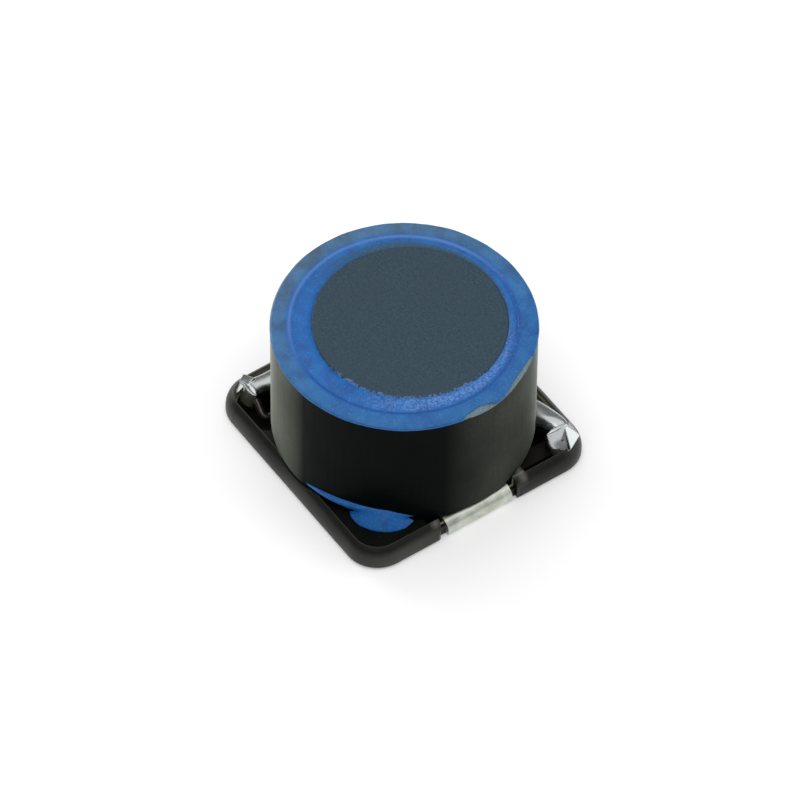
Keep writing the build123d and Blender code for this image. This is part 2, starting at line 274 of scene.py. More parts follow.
def tin_plate():
    """Matte tin on copper alloy strip, rolled: pale grey, and painted near-black as shade in the pockets."""
    material, tree, place = new_material("tin_plate")
    # Rolling lines and tin crystals are about 0.01 mm, too fine to show, and are drawn 0.05 mm wide
    cloud = node(tree, "ShaderNodeTexNoise", {"Vector": place, "Scale": per_mm(0.6), "Detail": 5.0})
    stretched = node(tree, "ShaderNodeMapping", {"Vector": place, "Scale": (0.05, 1.0, 0.05)})
    lines = node(tree, "ShaderNodeTexNoise", {"Vector": stretched, "Scale": per_mm(0.06), "Detail": 2.0})
    grit = node(tree, "ShaderNodeTexNoise", {"Vector": place, "Scale": per_mm(0.05), "Detail": 2.0})
    share = node(tree, "ShaderNodeMapRange", {"Value": cloud, "From Min": 0.3, "From Max": 0.7})
    plain_tin = node(tree, "ShaderNodeMix", {"data_type": "RGBA", 0: share, 6: "#b6bbae", 7: "#dde1d7"}, 2)
    y = node(tree, "ShaderNodeSeparateXYZ", {0: place}, "Y")
    along = node(tree, "ShaderNodeMath", {"operation": "ABSOLUTE", 0: y})
    # Painted shade: the tin is drawn near-black where the arms lie in the pockets
    end = {"Value": along, "From Min": POCKET_SHADE_START / MM, "From Max": (POCKET_SHADE_START + 0.1) / MM}
    pocket_shaded = node(tree, "ShaderNodeMapRange", end)
    colour = node(tree, "ShaderNodeMix", {"data_type": "RGBA", 0: pocket_shaded, 6: plain_tin, 7: "#14130f"}, 2)
    bare = node(tree, "ShaderNodeMath", {"operation": "SUBTRACT", 0: 1.0, 1: pocket_shaded})
    level = {"Value": bare, "To Min": 0.08, "To Max": 0.5}
    height = node(tree, "ShaderNodeMath", {"operation": "ADD", 0: lines, 1: grit})
    settings = {
        "Base Color": colour,
        "Roughness": node(tree, "ShaderNodeMapRange", {"Value": share, "To Min": 0.32, "To Max": 0.48}),
        "Metallic": bare,
        "Specular IOR Level": node(tree, "ShaderNodeMapRange", level),
    }
    finish_with(tree, height, 0.25, 0.008, settings)
    return material


def sintered_ferrite():
    """Black sintered ferrite, ground round its wall: a painted grey sheen on two sides, and pale where
    chipped.
    """
    material, tree, place = new_material("sintered_ferrite")
    # Ferrite's grains and grinding lines are about 0.02 mm, too fine to show, and are drawn 0.1 mm wide
    upright = node(tree, "ShaderNodeMapping", {"Vector": place, "Scale": (1.0, 1.0, 0.04)})
    lines = node(tree, "ShaderNodeTexNoise", {"Vector": upright, "Scale": per_mm(0.12), "Detail": 3.0})
    fine = {"Vector": place, "Scale": per_mm(0.08), "Detail": 3.0, "Roughness": 0.65}
    grain = node(tree, "ShaderNodeTexNoise", fine)
    cloud = node(tree, "ShaderNodeTexNoise", {"Vector": place, "Scale": per_mm(2.5), "Detail": 3.0})
    black = node(tree, "ShaderNodeMix", {"data_type": "RGBA", 0: cloud, 6: "#020504", 7: "#080e0c"}, 2)

    # A painted grey sheen on two sides of the wall, for the light the wall catches there, mottled and patchy
    patches = {"Value": cloud, "From Min": 0.35, "From Max": 0.6, "To Min": 0.6}
    patch = node(tree, "ShaderNodeMapRange", patches)
    mottle = {"Value": grain, "From Min": 0.3, "From Max": 0.6, "To Min": 0.6, "To Max": patch}
    uneven = node(tree, "ShaderNodeMapRange", mottle)
    near = facing(tree, place, PAINTED_SHEEN_ANGLE, 0.8, 0.99)
    painted_sheen = node(tree, "ShaderNodeMath", {"operation": "MULTIPLY", 0: near, 1: uneven})
    one_side_sheened = node(tree, "ShaderNodeMix", {"data_type": "RGBA", 0: painted_sheen, 6: black, 7: "#3c3e39"}, 2)
    rear = facing(tree, place, REAR_PAINTED_SHEEN_ANGLE, 0.89, 0.99)
    rear_painted_sheen = node(tree, "ShaderNodeMath", {"operation": "MULTIPLY", 0: rear, 1: uneven})
    both_sides_sheened = node(tree, "ShaderNodeMix", {"data_type": "RGBA", 0: rear_painted_sheen, 6: one_side_sheened, 7: "#62665c"}, 2)

    # Pale bared ferrite in the chip and along the upper edge
    pale = node(tree, "ShaderNodeMapRange", {"Value": grain, "From Min": 0.3, "From Max": 0.7})
    worn = node(tree, "ShaderNodeMix", {"data_type": "RGBA", 0: pale, 6: "#5f7077", 7: "#82959e"}, 2)
    reach = {"operation": "DOT_PRODUCT", 0: place, 1: tuple(CHIP_AWAY)}
    depth = node(tree, "ShaderNodeVectorMath", reach, "Value")
    chip = {"Value": depth, "From Min": (CHIP_REACH - 0.03) / MM, "From Max": (CHIP_REACH - 0.01) / MM}
    broken = node(tree, "ShaderNodeMapRange", chip)
    z = node(tree, "ShaderNodeSeparateXYZ", {0: place}, "Z")
    edge = {"Value": z, "From Min": (RING_TOP - 0.12) / MM, "From Max": (RING_TOP - 0.08) / MM}
    upper_edge = node(tree, "ShaderNodeMapRange", edge)
    paled = node(tree, "ShaderNodeMath", {"operation": "MAXIMUM", 0: broken, 1: upper_edge})
    colour = node(tree, "ShaderNodeMix", {"data_type": "RGBA", 0: paled, 6: both_sides_sheened, 7: worn}, 2)

    # The grinding lines draw the gloss out upwards
    height = node(tree, "ShaderNodeMath", {"operation": "MULTIPLY_ADD", 0: lines, 1: 0.5, 2: grain})
    gloss = {"Value": lines, "From Min": 0.3, "From Max": 0.7, "To Min": 0.36, "To Max": 0.5}
    around = {"operation": "CROSS_PRODUCT", 0: (0.0, 0.0, 1.0), 1: place}
    settings = {
        "Base Color": colour,
        "Roughness": node(tree, "ShaderNodeMapRange", gloss),
        "Tangent": node(tree, "ShaderNodeVectorMath", around),
        "Anisotropic": 0.85,
        "IOR": 1.08,
        "Sheen Weight": 0.75,
        "Sheen Roughness": 0.2,
        "Sheen Tint": linear("#dfe6d8"),
    }
    finish_with(tree, height, 0.3, 0.01, settings)
    return material


def ground_ferrite():
    """Ferrite ground flat: slate grey and matt, with a fine grain, and smears of epoxy at one edge."""
    material, tree, place = new_material("ground_ferrite")
    # Drawn 0.1 mm wide as on the ring, because the real grain is too fine to show
    fine = {"Vector": place, "Scale": per_mm(0.1), "Detail": 4.0, "Roughness": 0.7}
    grain = node(tree, "ShaderNodeTexNoise", fine)
    cloud = node(tree, "ShaderNodeTexNoise", {"Vector": place, "Scale": per_mm(1.8), "Detail": 3.0})
    light = node(tree, "ShaderNodeMapRange", {"Value": grain, "From Min": 0.3, "From Max": 0.7})
    tone = node(tree, "ShaderNodeMix", {"data_type": "RGBA", 0: light, 6: "#1a303b", 7: "#344c5b"}, 2)
    share = {"Value": cloud, "From Min": 0.35, "From Max": 0.65, "To Max": 0.35}
    dulled = node(tree, "ShaderNodeMapRange", share)
    shade = node(tree, "ShaderNodeMix", {"data_type": "RGBA", 0: dulled, 6: tone, 7: "#33424a"}, 2)

    # Flecks of epoxy smeared over the drum's edge on one side
    radius = radius_about(tree, place, DRUM_CENTRE)
    rim = {"Value": radius, "From Min": (DRUM_RADIUS - 0.3) / MM, "From Max": (DRUM_RADIUS - 0.02) / MM}
    near_edge = node(tree, "ShaderNodeMapRange", rim)
    side = facing(tree, place, SMEAR_ANGLE, 0.25, 0.75)
    spread = node(tree, "ShaderNodeMath", {"operation": "MULTIPLY", 0: near_edge, 1: side})
    spots = {"Vector": place, "Scale": per_mm(0.14), "Detail": 3.0, "Roughness": 0.7}
    fleck = node(tree, "ShaderNodeTexNoise", spots)
    amount = node(tree, "ShaderNodeMath", {"operation": "MULTIPLY_ADD", 0: spread, 1: 0.5, 2: fleck})
    smeared = node(tree, "ShaderNodeMapRange", {"Value": amount, "From Min": 0.86, "From Max": 0.98})
    colour = node(tree, "ShaderNodeMix", {"data_type": "RGBA", 0: smeared, 6: shade, 7: "#587bae"}, 2)
    gloss = {"Value": cloud, "From Min": 0.3, "From Max": 0.7, "To Min": 0.5, "To Max": 0.62}
    roughness = node(tree, "ShaderNodeMapRange", gloss)
    finish_with(tree, grain, 0.4, 0.012, {"Base Color": colour, "Roughness": roughness, "IOR": 1.35})
    return material


def blue_epoxy():
    """Blue filled epoxy, cured: bright where it is thick, greyer and mottled where it thins on the ring."""
    material, tree, place = new_material("blue_epoxy")
    # The filler's grains are about 0.03 mm, too fine to show, and are drawn 0.1 mm wide
    spots = node(tree, "ShaderNodeTexNoise", {"Vector": place, "Scale": per_mm(0.7), "Detail": 4.0})
    cloud = node(tree, "ShaderNodeMapRange", {"Value": spots, "From Min": 0.3, "From Max": 0.7})
    fine = {"Vector": place, "Scale": per_mm(0.1), "Detail": 3.0, "Roughness": 0.6}
    grain = node(tree, "ShaderNodeTexNoise", fine)
    radius = radius_about(tree, place, (0.0, 0.0))
    z = node(tree, "ShaderNodeSeparateXYZ", {0: place}, "Z")
    upper = {"Value": z, "From Min": RING_TOP / 2 / MM, "From Max": (RING_TOP / 2 + 1) / MM}
    on_top = node(tree, "ShaderNodeMapRange", upper)
    line_place = EPOXY_LINE_RADIUS / MM
    outer = {"Value": radius, "From Min": line_place + 0.00005, "From Max": line_place + 0.0003}
    over_ring = node(tree, "ShaderNodeMapRange", outer)
    thin = node(tree, "ShaderNodeMath", {"operation": "MULTIPLY", 0: on_top, 1: over_ring})
    thick_tone = node(tree, "ShaderNodeMix", {"data_type": "RGBA", 0: cloud, 6: "#005097", 7: "#0066b4"}, 2)
    near_tone = node(tree, "ShaderNodeMix", {"data_type": "RGBA", 0: cloud, 6: "#005498", 7: "#1c69a6"}, 2)
    far_tone = node(tree, "ShaderNodeMix", {"data_type": "RGBA", 0: cloud, 6: "#3a5770", 7: "#42719c"}, 2)
    far = facing(tree, place, THIN_ANGLE, -0.4, 0.9)
    thin_tone = node(tree, "ShaderNodeMix", {"data_type": "RGBA", 0: far, 6: near_tone, 7: far_tone}, 2)

    # Frosted beside the drum where it was wiped, and given painted shade behind the drum, where it sits low
    frost = {"Value": radius, "From Min": 4.88 / MM, "From Max": 5.04 / MM, "To Min": 1.0, "To Max": 0.0}
    by_drum = node(tree, "ShaderNodeMapRange", frost)
    wiped = facing(tree, place, WIPED_ANGLE, 0.45, 0.95)
    patches = {"Value": grain, "From Min": 0.38, "From Max": 0.64, "To Max": 0.75}
    scratch = node(tree, "ShaderNodeMapRange", patches)
    lightened = node(tree, "ShaderNodeMath", {"operation": "MULTIPLY", 0: wiped, 1: scratch})
    near_drum = node(tree, "ShaderNodeMath", {"operation": "MULTIPLY", 0: lightened, 1: by_drum})
    frosted = node(tree, "ShaderNodeMath", {"operation": "MULTIPLY", 0: near_drum, 1: on_top})
    lit_tone = node(tree, "ShaderNodeMix", {"data_type": "RGBA", 0: frosted, 6: thick_tone, 7: "#6d91cc"}, 2)
    behind = facing(tree, place, BEHIND_ANGLE, 0.2, 0.9)
    low = {"Value": radius, "From Min": 4.75 / MM, "From Max": 4.95 / MM, "To Min": 1.0, "To Max": 0.0}
    beside_drum = node(tree, "ShaderNodeMapRange", low)
    painted_shade_behind = node(tree, "ShaderNodeMath", {"operation": "MULTIPLY", 0: behind, 1: beside_drum})
    inner_tone = node(tree, "ShaderNodeMix", {"data_type": "RGBA", 0: painted_shade_behind, 6: lit_tone, 7: "#1c4d6e"}, 2)
    tone = node(tree, "ShaderNodeMix", {"data_type": "RGBA", 0: thin, 6: inner_tone, 7: thin_tone}, 2)

    # The line where the coat over the ring starts: a painted groove shade in front and a painted ridge
    # highlight at the rear
    line = stripe(tree, radius, line_place, 0.12 / MM)
    line_top = node(tree, "ShaderNodeMath", {"operation": "MULTIPLY", 0: line, 1: on_top})
    line_far = facing(tree, place, THIN_ANGLE, -0.2, 0.5)
    painted_line_light = node(tree, "ShaderNodeMix", {"data_type": "RGBA", 0: line_far, 6: "#00428c", 7: "#4c79bd"}, 2)
    lined = node(tree, "ShaderNodeMix", {"data_type": "RGBA", 0: line_top, 6: tone, 7: painted_line_light}, 2)

    # Pale specks of filler, and gloss that the same grain breaks up
    specks = {"Value": grain, "From Min": 0.55, "From Max": 0.75, "To Max": 0.3}
    speck = node(tree, "ShaderNodeMapRange", specks)
    colour = node(tree, "ShaderNodeMix", {"data_type": "RGBA", 0: speck, 6: lined, 7: "#6f93c6"}, 2)
    gloss = {"Value": grain, "From Min": 0.3, "From Max": 0.7, "To Min": 0.36, "To Max": 0.5}
    roughness = node(tree, "ShaderNodeMapRange", gloss)
    finish_with(tree, grain, 0.4, 0.02, {"Base Color": colour, "Roughness": roughness, "IOR": 1.4})
    return material


def bright_solder():
    """Tin-lead solder, frozen from the melt: bright, with slight waves and duller patches."""
    material, tree, place = new_material("bright_solder")
    wave = node(tree, "ShaderNodeTexNoise", {"Vector": place, "Scale": per_mm(0.5), "Detail": 2.0})
    colour = node(tree, "ShaderNodeMix", {"data_type": "RGBA", 0: wave, 6: "#a9adad", 7: "#c8cccc"}, 2)
    gloss = {"Value": wave, "From Min": 0.35, "From Max": 0.65, "To Min": 0.14, "To Max": 0.3}
    roughness = node(tree, "ShaderNodeMapRange", gloss)
    finish_with(tree, wave, 0.1, 0.02, {"Base Color": colour, "Roughness": roughness, "Metallic": 1.0})
    return material


def enamelled_copper():
    """Copper wire under clear enamel, dark where the leads come out to the solder: burnt enamel, and painted
    shade of the pockets.
    """
    material, tree, place = new_material("enamelled_copper")
    cloud = node(tree, "ShaderNodeTexNoise", {"Vector": place, "Scale": per_mm(0.5), "Detail": 3.0})
    radius = radius_about(tree, place, (0.0, 0.0))
    # Past the ring the leads are drawn dark: burnt enamel, and painted shade where they lie in the pockets
    end = {"Value": radius, "From Min": (RING_RADIUS - 0.3) / MM, "From Max": RING_RADIUS / MM}
    burnt_and_shaded = node(tree, "ShaderNodeMapRange", end)
    copper = node(tree, "ShaderNodeMix", {"data_type": "RGBA", 0: cloud, 6: "#8f4a22", 7: "#c8743c"}, 2)
    colour = node(tree, "ShaderNodeMix", {"data_type": "RGBA", 0: burnt_and_shaded, 6: copper, 7: "#17110d"}, 2)
    gloss = {"Value": cloud, "From Min": 0.3, "From Max": 0.7, "To Min": 0.24, "To Max": 0.36}
    settings = {
        "Base Color": colour,
        "Roughness": node(tree, "ShaderNodeMapRange", gloss),
        "Metallic": node(tree, "ShaderNodeMapRange", {"Value": burnt_and_shaded, "To Min": 0.9, "To Max": 0.2}),
        "Coat Weight": 0.8,
        "Coat Roughness": 0.08,
    }
    finish_with(tree, cloud, 0.2, 0.01, settings)
    return material


RESIN = moulded_resin()
TIN = tin_plate()
RING_FERRITE = sintered_ferrite()
DRUM_FERRITE = ground_ferrite()
EPOXY = blue_epoxy()
SOLDER = bright_solder()
COPPER = enamelled_copper()


def finish_node(name, material):
    """Gives a solid of the frame its finish."""
    solid = frame["nodes"][name]
    solid.data.materials.clear()
    solid.data.materials.append(material)


finish_node("base", RESIN)
finish_node("front_terminal", TIN)
finish_node("rear_terminal", TIN)
finish_node("shield_ring", RING_FERRITE)
finish_node("drum_core", DRUM_FERRITE)
finish_node("winding", COPPER)


def pick_only(piece):
    """Selects one object and nothing else."""
    bpy.ops.object.select_all(action="DESELECT")
    piece.select_set(True)
    bpy.context.view_layer.objects.active = piece


def strand(facing_axis, sections):
    """A solid through rectangular sections of (centre, size); across the facing axis the size is 1."""
    turns = {"X": (0, math.radians(90), 0), "Y": (math.radians(90), 0, 0), "Z": (0, 0, 0)}
    centre, size = sections[0]
    bpy.ops.object.select_all(action="DESELECT")
    bpy.ops.mesh.primitive_plane_add(size=1, location=centre, rotation=turns[facing_axis])
    bpy.ops.object.transform_apply(location=True, rotation=True, scale=True)
    bpy.ops.object.mode_set(mode="EDIT")
    bpy.ops.transform.resize(value=size, center_override=centre)
    for next_centre, next_size in sections[1:]:
        step = Vector(next_centre) - Vector(centre)
        growth = [after / before for after, before in zip(next_size, size)]
        bpy.ops.mesh.extrude_region_move(TRANSFORM_OT_translate={"value": step})
        bpy.ops.transform.resize(value=growth, center_override=next_centre)
        centre, size = next_centre, next_size
    bpy.ops.mesh.select_all(action="SELECT")
    bpy.ops.mesh.normals_make_consistent(inside=False)
    bpy.ops.object.mode_set(mode="OBJECT")
    return bpy.context.object


def pulled_block(low_corners, high_corners):
    """A block whose corners are pulled to four low points and the four high points over them."""
    bpy.ops.object.select_all(action="DESELECT")
    bpy.ops.mesh.primitive_cube_add(size=1)
    block = bpy.context.object
    quarters = [(-1, -1), (1, -1), (1, 1), (-1, 1)]
    for number in range(8):
        here = block.data.vertices[number].co.copy()
        quarter = quarters.index((math.copysign(1, here.x), math.copysign(1, here.y)))
        target = Vector((high_corners if here.z > 0 else low_corners)[quarter])
        bpy.ops.object.mode_set(mode="EDIT")
        bpy.ops.mesh.select_all(action="DESELECT")
        bpy.ops.object.mode_set(mode="OBJECT")
        block.data.vertices[number].select = True
        bpy.ops.object.mode_set(mode="EDIT")
        bpy.ops.transform.translate(value=target - here)
        bpy.ops.object.mode_set(mode="OBJECT")
    return block


def lump(centre, size, heading):
    """A rounded lump of a size, turned to a heading."""
    bpy.ops.object.select_all(action="DESELECT")
    bpy.ops.mesh.primitive_uv_sphere_add(segments=32, ring_count=16, radius=0.5, location=centre)
    bpy.context.object.rotation_euler.z = math.radians(heading)
    bpy.context.object.scale = size
    bpy.ops.object.transform_apply(location=True, rotation=True, scale=True)
    return bpy.context.object


def apply_modifier(piece, kind, settings):
    """Adds a modifier with its settings to a piece and applies it."""
    pick_only(piece)
    modifier = piece.modifiers.new(kind.lower(), kind)
    for key, value in settings.items():
        setattr(modifier, key, value)
    bpy.ops.object.modifier_apply(modifier=modifier.name)


def melt(name, pieces, skin, flow):
    """Joins pieces into one closed skin with softened edges and hollows, as what has flowed together."""
    pick_only(pieces[0])
    for piece in pieces:
        piece.select_set(True)
    bpy.ops.object.join()
    joined = bpy.context.object
    joined.name = name
    joined.data.name = name
    apply_modifier(joined, "REMESH", {"mode": "VOXEL", "voxel_size": skin})
    apply_modifier(joined, "SMOOTH", {"factor": 0.5, "iterations": flow})
    return joined


def rounded(piece):
    """Rounds a piece off all over, as liquid metal pulls itself."""
    apply_modifier(piece, "SUBSURF", {"levels": 3})
    return piece


def roughen(piece, size, strength):
    """Makes a piece's surface uneven."""
    texture = bpy.data.textures.new(piece.name, "CLOUDS")
    texture.noise_scale = size
    settings = {"texture": texture, "texture_coords": "LOCAL", "strength": strength, "mid_level": 0.5}
    apply_modifier(piece, "DISPLACE", settings)


def cut_away(piece, tool):
    """Takes from a piece what lies in a tool, and removes the tool."""
    apply_modifier(piece, "BOOLEAN", {"object": tool, "solver": "MANIFOLD"})
    bpy.data.objects.remove(tool)


def clear_of_ring(piece):
    """Cuts away what would lie inside the ring."""
    bpy.ops.object.select_all(action="DESELECT")
    radius = RING_RADIUS - RING_TOUCH
    bpy.ops.mesh.primitive_cylinder_add(vertices=256, radius=radius, depth=2 * RING_TOP)
    cut_away(piece, bpy.context.object)


def half_turned(piece, name):
    """A copy of a piece, half a turn round the upright axis."""
    pick_only(piece)
    bpy.ops.object.duplicate()
    copy = bpy.context.object
    copy.name = name
    copy.data.name = name
    copy.rotation_euler.z = math.radians(180)
    bpy.ops.object.transform_apply(location=True, rotation=True, scale=True)
    return copy


def clear_crumbs(piece):
    """Merges the slivers that a cut leaves, and keeps only the shell that holds the highest point."""
    pick_only(piece)
    bpy.ops.object.mode_set(mode="EDIT")
    bpy.ops.mesh.select_all(action="SELECT")
    bpy.ops.mesh.remove_doubles(threshold=SLIVER)
    bpy.ops.mesh.dissolve_degenerate(threshold=SLIVER)
    bpy.ops.mesh.select_all(action="DESELECT")
    bpy.ops.object.mode_set(mode="OBJECT")
    highest = max(piece.data.vertices, key=lambda vertex: vertex.co.z)
    highest.select = True
    bpy.ops.object.mode_set(mode="EDIT")
    bpy.ops.mesh.select_linked()
    bpy.ops.mesh.select_all(action="INVERT")
    bpy.ops.mesh.delete(type="VERT")
    bpy.ops.object.mode_set(mode="OBJECT")


def settle(piece, material, solid):
    """Makes a finished piece metres and smooth, with its finish, in place of its solid."""
    clear_crumbs(piece)
    pick_only(piece)
    piece.scale = (1 / MM, 1 / MM, 1 / MM)
    bpy.ops.object.transform_apply(location=True, rotation=True, scale=True)
    bpy.ops.object.shade_smooth_by_angle(angle=math.radians(50))
    piece.data.materials.clear()
    piece.data.materials.append(material)
    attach(piece, "root")
    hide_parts(solid)


# How deep a piece on the ring's wall bites into it, so that no gap shows
RING_TOUCH = 0.02

# The size of the voxels that pieces are joined with, and the edge length below which a face is a sliver
SOLDER_SKIN = 0.022
EPOXY_SKIN = 0.045
SLIVER = 0.001

# Steps of smoothing that let solder and epoxy flow together
SOLDER_FLOW = 10
EPOXY_FLOW = 36


def make_front_joint():
    """Solder of the front terminal: a web from the ring's foot, a crested lump and a pointed fin."""
    web = strand(
        "X",
        [
            ((2.30, 4.40, 1.02), (1, 2.10, 0.70)),
            ((2.90, 4.60, 1.12), (1, 2.00, 0.66)),
            ((3.60, 4.78, 1.25), (1, 1.84, 0.58)),
            ((4.20, 5.08, 1.40), (1, 1.28, 0.50)),
            ((4.72, 5.20, 1.46), (1, 1.08, 0.46)),
            ((5.10, 5.15, 1.46), (1, 1.00, 0.40)),
            ((5.30, 5.10, 1.40), (1, 0.80, 0.30)),
        ],
    )
    foot = strand(
        "Z",
        [
            ((5.12, 4.85, 0.30), (0.90, 1.05, 1)),
            ((5.22, 4.88, 0.60), (1.10, 1.34, 1)),
            ((5.25, 4.90, 0.85), (1.14, 1.44, 1)),
            ((5.20, 4.90, 1.12), (0.96, 1.42, 1)),
            ((5.13, 4.86, 1.42), (0.66, 1.34, 1)),
            ((5.12, 4.83, 1.70), (0.42, 1.28, 1)),
            ((5.13, 4.82, 1.88), (0.30, 1.24, 1)),
            ((5.14, 4.82, 1.98), (0.20, 1.14, 1)),
        ],
    )
    fin = pulled_block(
        [(5.46, 4.42, 1.00), (5.92, 4.92, 1.00), (5.52, 5.74, 0.92), (4.85, 5.50, 1.20)],
        [(5.14, 5.24, 1.90), (6.00, 5.02, 1.16), (5.60, 5.80, 1.24), (4.95, 5.68, 1.72)],
    )
    joint = melt("front_joint", [rounded(web), rounded(foot), fin], SOLDER_SKIN, SOLDER_FLOW)
    clear_of_ring(joint)
    return joint


def make_rear_joint():
    """Solder of the rear terminal, lower, with a fin and a spike; made in front and turned to the rear."""
    web = strand(
        "Y",
        [
            ((4.76, 2.60, 0.98), (1.80, 1, 0.76)),
            ((4.80, 3.40, 1.08), (1.70, 1, 0.70)),
            ((4.90, 4.05, 1.20), (1.24, 1, 0.56)),
            ((4.98, 4.50, 1.32), (0.98, 1, 0.46)),
            ((4.95, 4.95, 1.44), (1.16, 1, 0.38)),
            ((4.93, 5.20, 1.46), (1.00, 1, 0.30)),
        ],
    )
    foot = strand(
        "Z",
        [
            ((4.95, 5.00, 0.35), (1.20, 1.05, 1)),
            ((4.95, 5.00, 0.80), (1.10, 0.86, 1)),
            ((4.92, 5.00, 1.10), (1.08, 0.62, 1)),
            ((4.88, 5.00, 1.40), (1.06, 0.44, 1)),
            ((4.86, 5.00, 1.64), (1.02, 0.32, 1)),
        ],
    )
    fin = pulled_block(
        [(4.90, 4.60, 1.00), (5.60, 4.70, 1.00), (5.40, 5.10, 1.00), (4.90, 5.00, 1.00)],
        [(5.25, 4.55, 1.58), (5.88, 4.76, 1.38), (5.54, 5.22, 1.52), (5.05, 5.08, 1.62)],
    )
    spike = pulled_block(
        [(5.10, 4.95, 1.10), (5.45, 5.00, 1.15), (5.28, 5.50, 1.12), (5.20, 5.48, 1.12)],
        [(5.20, 5.00, 1.55), (5.54, 5.16, 1.50), (5.30, 5.56, 1.24), (5.20, 5.54, 1.24)],
    )
    pieces = [rounded(web), rounded(foot), fin, spike]
    joint = melt("rear_joint_in_front", pieces, SOLDER_SKIN, SOLDER_FLOW)
    clear_of_ring(joint)
    turned = half_turned(joint, "rear_joint")
    bpy.data.objects.remove(joint)
    return turned


settle(make_front_joint(), SOLDER, "front_solder")
settle(make_rear_joint(), SOLDER, "rear_solder")

# Epoxy at the ring's foot: a bead along the wall, and the pool that ran down from it
BEAD_START = -80.0
BEAD_END = -32.0
BEAD_LUMPS = 26
BEAD_LEVEL = 1.42
BEAD_HEIGHT = 0.52
BEAD_THICKNESS = 0.15
POOL_ANGLE = -44.5
POOL_LENGTH = 3.1
POOL_DEPTH = 0.42
POOL_REACH = 0.78
POOL_TOP = 1.62


def on_wall(radius, angle, level):
    """A place at a radius from the ring's axis."""
    return Vector((radius * math.cos(math.radians(angle)), radius * math.sin(math.radians(angle)), level))


def make_corner_epoxy():
    """Epoxy squeezed out at the ring's foot in the front corner."""
    pieces = []
    for number in range(BEAD_LUMPS):
        along = number / (BEAD_LUMPS - 1)
        angle = BEAD_START + (BEAD_END - BEAD_START) * along
        swell = math.sin(math.pi * (0.06 + 0.88 * along)) ** 0.6
        level = BEAD_LEVEL - 0.17 * abs(2 * along - 1) ** 3
        size = (2 * BEAD_THICKNESS * swell, 0.5, BEAD_HEIGHT * swell)
        pieces.append(lump(on_wall(RING_RADIUS, angle, level), size, angle))
    bpy.ops.object.select_all(action="DESELECT")
    height = POOL_TOP - FLOOR_LEVEL
    bpy.ops.mesh.primitive_cone_add(
        vertices=96,
        radius1=0.5,
        radius2=0.2,
        depth=height,
        location=on_wall(RING_RADIUS - POOL_DEPTH, POOL_ANGLE, FLOOR_LEVEL + height / 2),
        rotation=(0, 0, math.radians(POOL_ANGLE)),
    )
    pool = bpy.context.object
    pool.scale = (2 * (POOL_DEPTH + POOL_REACH), POOL_LENGTH, 1)
    bpy.ops.object.transform_apply(location=True, rotation=True, scale=True)
    epoxy = melt("front_corner_epoxy", [*pieces, pool], EPOXY_SKIN, EPOXY_FLOW)
    roughen(epoxy, 0.5, 0.03)
    clear_of_ring(epoxy)
    return epoxy


front_corner = make_corner_epoxy()
rear_corner = half_turned(front_corner, "rear_corner_epoxy")
settle(front_corner, EPOXY, "front_corner_adhesive")
settle(rear_corner, EPOXY, "rear_corner_adhesive")

# Sides of the round fill of the gap, so fine that none shows
EPOXY_SEGMENTS = 512

# Where the epoxy is broken off the ring's edge: (angle, how far in, how long the tool is)
EPOXY_BREAKS = [(-0.5, 0.24, 2.3), (27.0, 0.2, 6.0)]


def break_rim(epoxy):
    """Breaks the epoxy's rim away in crescents, at the chip and at the worn stretch beside it."""
    for angle, depth, length in EPOXY_BREAKS:
        place = on_wall(RING_RADIUS + 0.5 - depth, angle, RING_TOP)
        tool = lump(place, (1, length, 1), angle)
        apply_modifier(tool, "SUBSURF", {"levels": 2})
        roughen(tool, 0.25, 0.07)
        cut_away(epoxy, tool)


